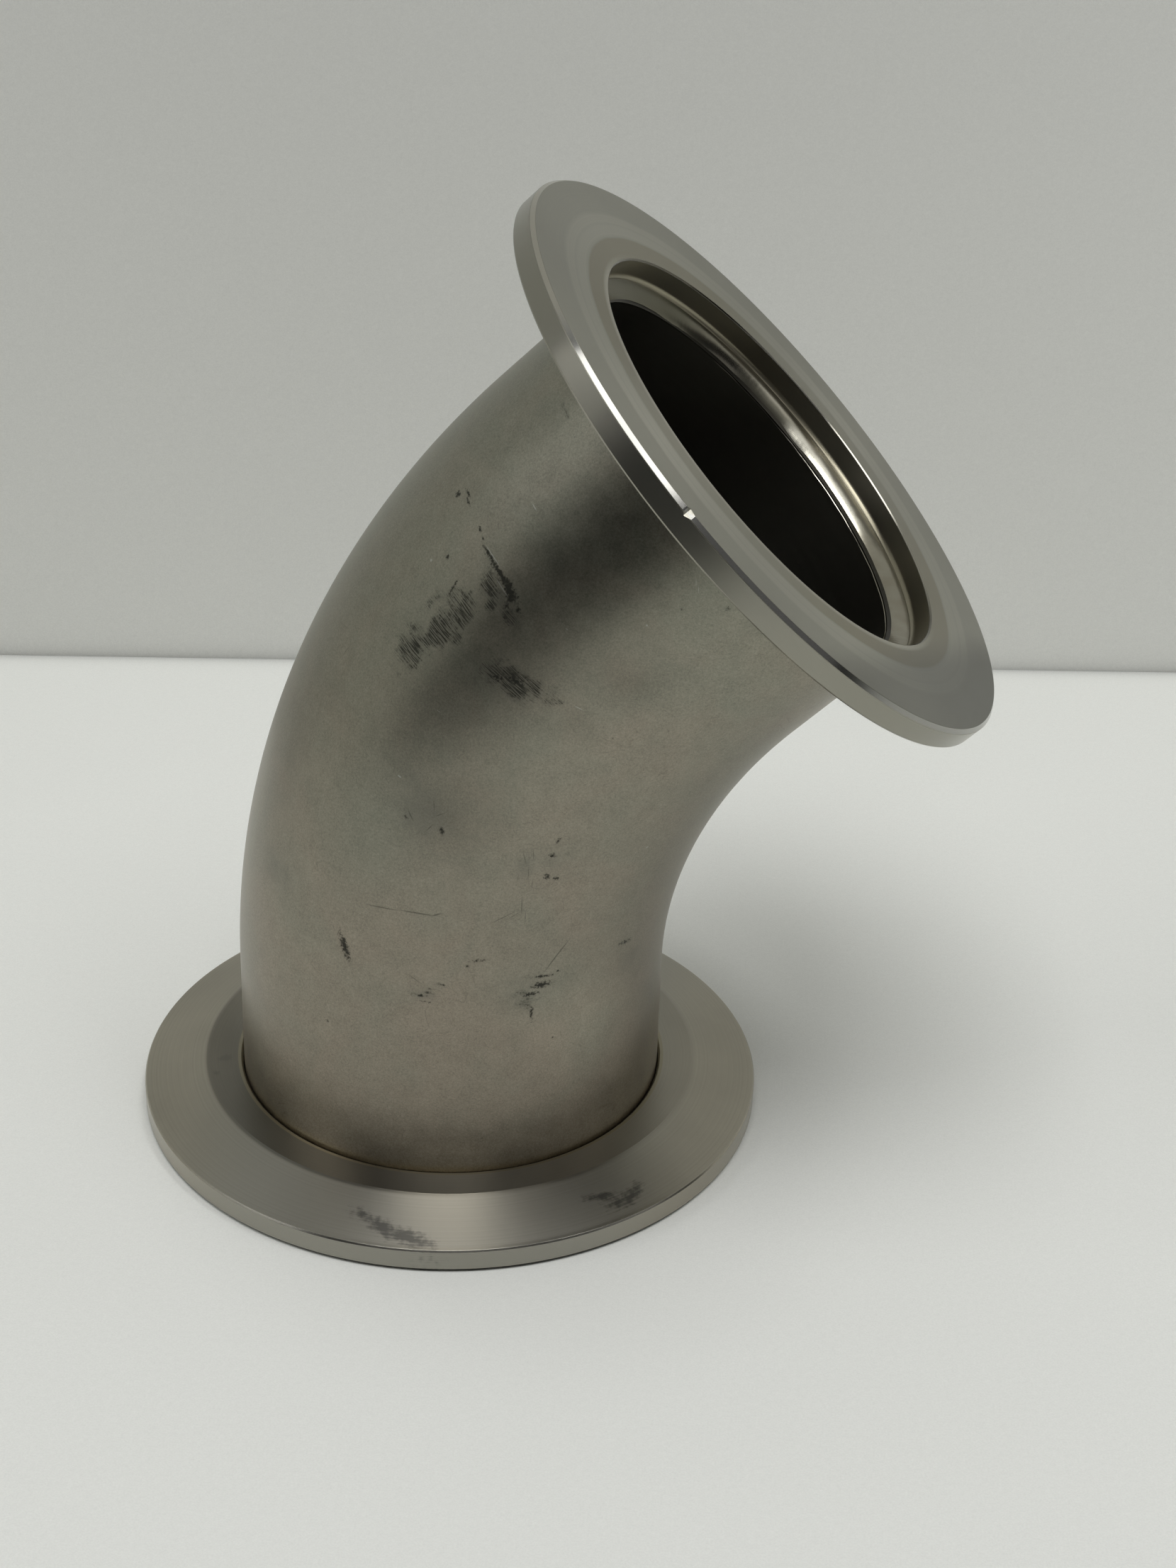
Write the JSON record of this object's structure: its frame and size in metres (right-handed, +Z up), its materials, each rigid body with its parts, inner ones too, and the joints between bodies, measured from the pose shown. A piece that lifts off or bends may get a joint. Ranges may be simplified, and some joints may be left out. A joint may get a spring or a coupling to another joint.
{
  "type": "vacuum forty-five degree elbow",
  "caption": "Stainless vacuum elbow: a tube bent through forty-five degrees with a turned quick-clamp flange welded on each end.",
  "frame": {"origin": "centre of the lower flange's sealing face, on the axis of the lower bore", "axes": "+Z up along the lower bore into the elbow, +X the way the elbow bends, so the bend lies in the XZ plane"},
  "size_m": [0.0987, 0.075, 0.1122],
  "materials": {
    "blasted_tube": "stainless steel, bead blasted matt outside, plain drawn inside, with handling marks",
    "turned_flange": "stainless steel, fine turned faces with faint concentric marks",
    "weld_bead": "bright fused bead with fine ripples and a faint straw heat tint"
  },
  "bodies": {
    "root": {"elbow_tube": "blasted_tube", "lower_flange": "turned_flange", "upper_flange": "turned_flange", "lower_weld_bead": "weld_bead", "upper_weld_bead": "weld_bead"}
  },
  "joints": []
}
